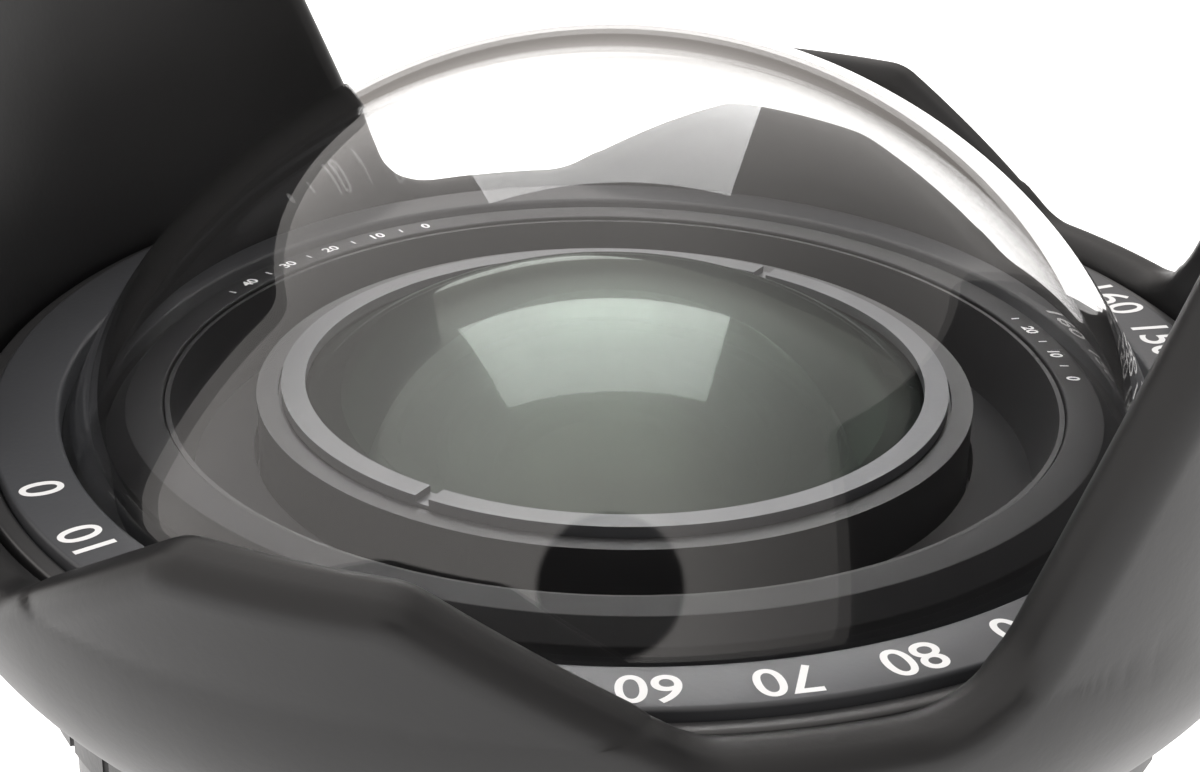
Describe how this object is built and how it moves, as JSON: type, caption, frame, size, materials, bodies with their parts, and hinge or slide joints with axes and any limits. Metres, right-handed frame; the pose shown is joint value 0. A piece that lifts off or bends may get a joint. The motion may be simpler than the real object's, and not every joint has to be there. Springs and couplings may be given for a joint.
{
  "type": "underwater fisheye lens",
  "caption": "Underwater fisheye lens with a clear glass dome, a four-petal black hood, a sealed barrel with an aperture ring and a bayonet mount.",
  "frame": {"origin": "centre of the rear end of the bayonet collar, on the optical axis", "axes": "+Z along the optical axis from the mount to the dome; +Y through the middle of one tall petal, along the short side of the picture; +X through the middle of one short petal and through the focus drive"},
  "size_m": [0.1186, 0.1278, 0.122],
  "materials": {
    "black_anodised": "matte",
    "satin_black": "satin",
    "inner_black": "matte",
    "optical_glass": "gloss",
    "seal_rubber": "matte",
    "steel": "satin",
    "blade_steel": "satin",
    "chrome_mount": "polished",
    "bare_aluminium": "satin",
    "brass": "satin",
    "black_plastic": "matte",
    "white_paint": "matte"
  },
  "bodies": {
    "barrel": {"hood": "black_anodised", "hood_lock_ring": "satin_black", "hood_rear_ring": "black_anodised", "name_ring": "satin_black", "dome": "optical_glass", "dome_gasket": "seal_rubber", "dome_oring": "seal_rubber", "inner_ring": "satin_black", "baffle": "inner_black", "front_barrel": "black_anodised", "front_cell": "inner_black", "cell_screws": "steel", "front_lens": "optical_glass", "front_retainer": "satin_black", "second_spacer": "inner_black", "second_lens": "optical_glass", "third_lens": "optical_glass", "second_retainer": "inner_black", "stop_lens": "optical_glass", "stop_retainer": "inner_black", "iris_base": "inner_black", "iris_pivots": "steel", "iris_cover": "inner_black", "main_barrel": "black_anodised", "barrel_screws": "steel", "aperture_oring_front": "seal_rubber", "aperture_oring_rear": "seal_rubber", "index_mark": "white_paint", "guide_tube": "bare_aluminium", "guide_screws": "steel", "mount_plate": "chrome_mount", "mount_screws": "steel", "mount_oring": "seal_rubber", "contact_block": "black_plastic", "contact_pins": "brass"},
    "aperture": {"aperture_ring": "black_anodised", "aperture_grip": "seal_rubber"},
    "iris_drive": {"iris_rotor": "inner_black", "stopdown_lever": "steel"},
    "focus_cam": {"focus_ring": "brass", "focus_gear": "brass"},
    "focus_group": {"focus_cell": "inner_black", "followers": "steel", "rear_group_lens": "optical_glass", "rear_spacer": "inner_black", "rear_lens": "optical_glass", "rear_retainer": "inner_black"},
    "focus_drive": {"drive_shaft": "steel", "drive_pinion": "brass"},
    "iris_blade_1": {"blade_1": "blade_steel"},
    "iris_blade_2": {"blade_2": "blade_steel"},
    "iris_blade_3": {"blade_3": "blade_steel"},
    "iris_blade_4": {"blade_4": "blade_steel"},
    "iris_blade_5": {"blade_5": "blade_steel"},
    "iris_blade_6": {"blade_6": "blade_steel"},
    "iris_blade_7": {"blade_7": "blade_steel"}
  },
  "joints": [
    {"name": "aperture_turn", "type": "hinge", "parent": "barrel", "child": "aperture", "pos_m": [0, 0, 0.0385], "axis": [0, 0, 1], "range_deg": [0, 54]},
    {"name": "iris_turn", "type": "hinge", "parent": "barrel", "child": "iris_drive", "pos_m": [0, 0, 0.0505], "axis": [0, 0, 1], "range_deg": [0, 6.5]},
    {"name": "focus_turn", "type": "hinge", "parent": "barrel", "child": "focus_cam", "pos_m": [0, 0, 0.0285], "axis": [0, 0, 1], "range_deg": [0, 100]},
    {"name": "focus_slide", "type": "slide", "parent": "barrel", "child": "focus_group", "axis": [0, 0, 1], "range_m": [0, 0.003]},
    {"name": "drive_turn", "type": "hinge", "parent": "barrel", "child": "focus_drive", "pos_m": [0.0285, 0, 0.015], "axis": [0, 0, 1], "range_deg": [-400, 0]},
    {"name": "blade_turn_1", "type": "hinge", "parent": "barrel", "child": "iris_blade_1", "pos_m": [0.0205, 0, 0.04715], "axis": [0, 0, 1], "range_deg": [0, 37]},
    {"name": "blade_turn_2", "type": "hinge", "parent": "barrel", "child": "iris_blade_2", "pos_m": [0.01278, 0.01603, 0.04755], "axis": [0, 0, 1], "range_deg": [0, 37]},
    {"name": "blade_turn_3", "type": "hinge", "parent": "barrel", "child": "iris_blade_3", "pos_m": [-0.00456, 0.01999, 0.04795], "axis": [0, 0, 1], "range_deg": [0, 37]},
    {"name": "blade_turn_4", "type": "hinge", "parent": "barrel", "child": "iris_blade_4", "pos_m": [-0.01847, 0.00889, 0.04835], "axis": [0, 0, 1], "range_deg": [0, 37]},
    {"name": "blade_turn_5", "type": "hinge", "parent": "barrel", "child": "iris_blade_5", "pos_m": [-0.01847, -0.00889, 0.04875], "axis": [0, 0, 1], "range_deg": [0, 37]},
    {"name": "blade_turn_6", "type": "hinge", "parent": "barrel", "child": "iris_blade_6", "pos_m": [-0.00456, -0.01999, 0.04915], "axis": [0, 0, 1], "range_deg": [0, 37]},
    {"name": "blade_turn_7", "type": "hinge", "parent": "barrel", "child": "iris_blade_7", "pos_m": [0.01278, -0.01603, 0.04955], "axis": [0, 0, 1], "range_deg": [0, 37]}
  ],
  "couplings": [
    {"joint": "iris_turn", "follows": "aperture_turn", "ratio": 0.12037},
    {"joint": "focus_slide", "follows": "focus_turn", "m_per_rad": 0.0017189},
    {"joint": "drive_turn", "follows": "focus_turn", "ratio": -4},
    {"joint": "blade_turn_1", "follows": "aperture_turn", "ratio": 0.68519},
    {"joint": "blade_turn_2", "follows": "aperture_turn", "ratio": 0.68519},
    {"joint": "blade_turn_3", "follows": "aperture_turn", "ratio": 0.68519},
    {"joint": "blade_turn_4", "follows": "aperture_turn", "ratio": 0.68519},
    {"joint": "blade_turn_5", "follows": "aperture_turn", "ratio": 0.68519},
    {"joint": "blade_turn_6", "follows": "aperture_turn", "ratio": 0.68519},
    {"joint": "blade_turn_7", "follows": "aperture_turn", "ratio": 0.68519}
  ]
}
